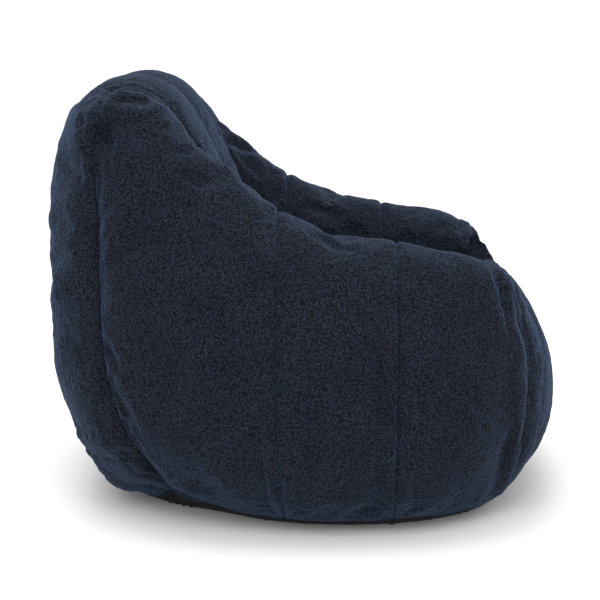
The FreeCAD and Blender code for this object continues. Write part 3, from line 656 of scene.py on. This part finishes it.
def woven(name, colour, thread, roughness):
    """Plain weave: two crossing sets of threads of that width."""
    m, tree, shader = material(name)
    across, along = (textured(tree, "ShaderNodeTexWave", Scale=0.16 / thread, Distortion=0.4,
                              bands_direction=bands) for bands in ("X", "DIAGONAL"))
    weave = mixed(tree, 0.5, across.outputs["Color"], along.outputs["Color"])
    dark = tuple(0.6 * c for c in colour)
    light = tuple(min(1.0, 1.5 * c) for c in colour)
    tree.links.new(ramp(tree, weave, [(0.2, dark), (0.8, light)]), shader.inputs["Base Color"])
    worn = textured(tree, "ShaderNodeTexNoise", Scale=60.0, Detail=3.0)
    rough = tree.nodes.new("ShaderNodeMapRange")
    tree.links.new(worn.outputs["Fac"], rough.inputs["Value"])
    rough.inputs["To Min"].default_value = roughness - 0.1
    rough.inputs["To Max"].default_value = min(1.0, roughness + 0.1)
    tree.links.new(rough.outputs["Result"], shader.inputs["Roughness"])
    bump(tree, shader, weave, thread * 0.4)
    return m


def hard(name, colour, roughness, metallic):
    """Metal or plastic with fine wear in its gloss."""
    m, tree, shader = material(name)
    shader.inputs["Metallic"].default_value = metallic
    wear = textured(tree, "ShaderNodeTexNoise", Scale=900.0, Detail=4.0)
    scratched = textured(tree, "ShaderNodeTexNoise", Scale=160.0, Detail=5.0)
    light = tuple(min(1.0, 1.4 * c) for c in colour)
    worn = ramp(tree, wear.outputs["Fac"], [(0.3, colour), (0.8, light)])
    tree.links.new(worn, shader.inputs["Base Color"])
    rough = tree.nodes.new("ShaderNodeMapRange")
    tree.links.new(scratched.outputs["Fac"], rough.inputs["Value"])
    rough.inputs["To Min"].default_value = roughness - 0.12
    rough.inputs["To Max"].default_value = roughness + 0.15
    tree.links.new(rough.outputs["Result"], shader.inputs["Roughness"])
    bump(tree, shader, wear.outputs["Fac"], 0.00005)
    return m


def dress(obj, mat):
    obj.data.materials.clear()
    obj.data.materials.append(mat)


# ---------------------------------------------------------------- the covers
SHERPA = sherpa()
HELD_INSIDE = {
    "front_panel": ["front_fill"], "seat_panel": ["seat_fill"],
    "back_strip_centre_left": ["back_fill", "baffle_back"],
    "back_strip_outer_left": ["back_wing_fill_left"], "back_strip_outer_right": ["back_wing_fill_right"],
    "side_strip_middle_left": ["arm_fill_left", "baffle_left"],
    "side_strip_middle_right": ["arm_fill_right", "baffle_right"],
}
panels = cut_panels(body.data)
for name in COVERS:
    panel = make_panel(name, *panels[name])
    dress(panel, SHERPA)
    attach(panel, "chair")
    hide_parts(name, *HELD_INSIDE.get(name, []))
    print(panel.name, len(panel.data.polygons), "faces")
bpy.data.objects.remove(body)

# ---------------------------------------------------------------- base cloth
DOT_PITCH, DOT_RADIUS, DOT_HEIGHT = 0.016, 0.0032, 0.0011
DOT_RING = 10
DOT_RINGS = ((1.0, 0.0), (0.9, 0.6), (0.55, 0.95))   # share of radius, share of height


def base_cloth(points, normals, faces):
    """The non-slip cloth under the chair, with its edge turned up to the covers."""
    obj, p, outward = panel_mesh("base_cloth", points, normals, faces, 1)
    pucker = np.clip(p[:, 2] / 0.01, 0, 1) * (0.0006 * lumps(p, 0.011, 43) + 0.0012 * lumps(p, 0.05, 45))
    p += outward * (pucker - valley(p) * (p[:, 2] > 0.6 * BASE_LINE))[:, None]
    p[:, 2] = np.maximum(p[:, 2], DOT_HEIGHT + 0.0007 * (1 + lumps(p * (1, 1, 0), 0.08, 41)))
    set_points(obj.data, settled(p))
    obj.data.shade_smooth()
    return obj


def base_dots(cloth):
    """Rubber dots in a staggered grid on the base cloth's flat part."""
    under = BVHTree.FromObject(cloth, bpy.context.evaluated_depsgraph_get())
    turns = np.linspace(0, 2 * np.pi, DOT_RING, endpoint=False)
    points, faces = [], []
    for i in range(-24, 25):
        for j in range(-28, 29):
            x, y = DOT_PITCH * (i + 0.5 * (j % 2)), 0.87 * DOT_PITCH * j
            hit, normal = under.ray_cast(Vector((x, y, -0.1)), Vector((0, 0, 1)))[:2]
            if hit is None or abs(normal.z) < 0.995:
                continue
            first = len(points)
            for share, height in DOT_RINGS:
                z = hit.z + 0.0002 - height * (hit.z + 0.0002)
                points += [(x + share * DOT_RADIUS * math.cos(t), y + share * DOT_RADIUS * math.sin(t), z)
                           for t in turns]
            for ring in range(len(DOT_RINGS) - 1):
                low = first + ring * DOT_RING
                faces += [(low + k, low + (k + 1) % DOT_RING, low + DOT_RING + (k + 1) % DOT_RING,
                           low + DOT_RING + k) for k in range(DOT_RING)]
            last = first + (len(DOT_RINGS) - 1) * DOT_RING
            faces.append([last + k for k in range(DOT_RING)])
    mesh = bpy.data.meshes.new("base_dots")
    mesh.from_pydata(points, [], faces)
    mesh.shade_smooth()
    return new_object("base_dots", mesh)


cloth = base_cloth(*panels["base_panel"])
dress(cloth, woven("base_cloth", (0.0035, 0.0035, 0.004), 0.0009, 0.85))
dots = base_dots(cloth)
dress(dots, hard("rubber", (0.006, 0.006, 0.006), 0.6, 0.0))
for piece in (cloth, dots):
    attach(piece, "chair")
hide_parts("base_panel")

# ---------------------------------------------------------------- zip
COIL_PITCH, COIL_WIRE = 0.0015, 0.00036
COIL_WIDE, COIL_HIGH = 0.00095, 0.00068
COIL_STEPS, WIRE_SIDES = 10, 6
STITCH_PITCH, STITCH_LONG, STITCH_THICK = 0.0036, 0.0024, 0.0003
STITCH_ROWS = (-0.0040, 0.0040)   # from the middle of each tape
TAPE_FACE = 0.00035      # half of a tape's thickness


def tube(name, paths, radius, sides):
    """Round wires along paths of points, as one mesh."""
    points, faces = [], []
    for path in paths:
        path = np.array(path)
        along = np.gradient(path, axis=0)
        along /= np.linalg.norm(along, axis=1)[:, None]
        across = np.cross(along, ZIP_OUT + Vector((0.3, 0, 0)))
        across /= np.linalg.norm(across, axis=1)[:, None]
        up = np.cross(across, along)
        first = len(points)
        for centre, a, b in zip(path, across, up):
            points += [centre + radius * (math.cos(t) * a + math.sin(t) * b)
                       for t in np.linspace(0, 2 * math.pi, sides, endpoint=False)]
        for k in range(len(path) - 1):
            low = first + k * sides
            faces += [(low + j, low + (j + 1) % sides, low + sides + (j + 1) % sides, low + sides + j)
                      for j in range(sides)]
        faces += [list(range(first, first + sides)), list(range(len(points) - sides, len(points)))]
    mesh = bpy.data.meshes.new(name)
    mesh.from_pydata([tuple(q) for q in points], [], faces)
    mesh.shade_smooth()
    return new_object(name, mesh)


def wound_coil(node_name, phase):
    """A zip's coil: wire wound round in loops, inside the box of its CAD node."""
    low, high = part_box(node_name)
    middle = (low + high) / 2
    half = (high.x - low.x) / 2 - COIL_WIRE
    count = int(2 * half / COIL_PITCH * COIL_STEPS)
    path = []
    for k in range(count + 1):
        turn = 2 * math.pi * k / COIL_STEPS + phase
        path.append(middle + Vector((-half + k * COIL_PITCH / COIL_STEPS, 0, 0))
                    + COIL_WIDE * math.cos(turn) * ZIP_DOWN + COIL_HIGH * math.sin(turn) * ZIP_OUT)
    return tube(node_name + "_wire", [path], COIL_WIRE, WIRE_SIDES)


def stitches():
    """Rows of running stitch that hold both tapes to the covers."""
    paths = []
    for tape in ("zip_tape_upper", "zip_tape_lower"):
        low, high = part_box(tape)
        face = (low + high) / 2 + TAPE_FACE * ZIP_OUT
        for down in STITCH_ROWS:
            for k in range(int((high.x - low.x - 0.006) / STITCH_PITCH)):
                start = face + down * ZIP_DOWN + Vector((low.x - face.x + 0.003 + k * STITCH_PITCH, 0, 0))
                paths.append([start + Vector((t * STITCH_LONG, 0, 0))
                              + (0.00045 * math.sin(math.pi * t) - 0.0002) * ZIP_OUT
                              for t in (0, 0.15, 0.4, 0.6, 0.85, 1)])
    return tube("zip_stitches", paths, STITCH_THICK, 6)


TAPE = woven("zip_tape", (0.012, 0.014, 0.024), 0.0006, 0.8)
NYLON = hard("zip_coil", (0.018, 0.021, 0.034), 0.4, 0.0)
THREAD = hard("thread", (0.020, 0.024, 0.040), 0.6, 0.0)
METAL = hard("zip_metal", (0.10, 0.10, 0.11), 0.35, 1.0)
for name, obj in nodes.items():
    if name.startswith("zip_tape"):
        dress(obj, TAPE)
    elif name.startswith("zip_"):
        dress(obj, METAL)
for name, phase in (("zip_coil_upper", 0.0), ("zip_coil_lower", math.pi)):
    coil = wound_coil(name, phase)
    dress(coil, NYLON)
    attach(coil, "chair")
    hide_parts(name)
sewn = stitches()
dress(sewn, THREAD)
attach(sewn, "chair")

# ---------------------------------------------------------------- floor and light
floor_mesh = bpy.data.meshes.new("floor")
floor_mesh.from_pydata([(-9, -9, 0), (9, -9, 0), (9, 9, 0), (-9, 9, 0)], [], [(0, 1, 2, 3)])
floor = new_object("floor", floor_mesh)
m, tree, shader = material("floor")
shader.inputs["Base Color"].default_value = (0.95, 0.95, 0.95, 1)
shader.inputs["Roughness"].default_value = 0.9
dress(floor, m)

world = bpy.data.worlds.new("studio")
scene.world = world
world.use_nodes = True
world.node_tree.nodes["Background"].inputs["Color"].default_value = (1, 1, 1, 1)
world.node_tree.nodes["Background"].inputs["Strength"].default_value = 1.1


def area_light(name, place_at, aim, size, power):
    data = bpy.data.lights.new(name, "AREA")
    data.shape, data.size, data.energy = "SQUARE", size, power
    lamp = bpy.data.objects.new(name, data)
    scene.collection.objects.link(lamp)
    lamp.location = place_at
    lamp.rotation_euler = (Vector(aim) - Vector(place_at)).to_track_quat("-Z", "Y").to_euler()


area_light("top_softbox", (0.1, 0.4, 3.2), (0, 0, 0.3), 2.4, 55)
area_light("near_softbox", (-2.4, -0.1, 3.0), (0, 0, 0.4), 1.6, 34)
scene.view_settings.view_transform = "Standard"
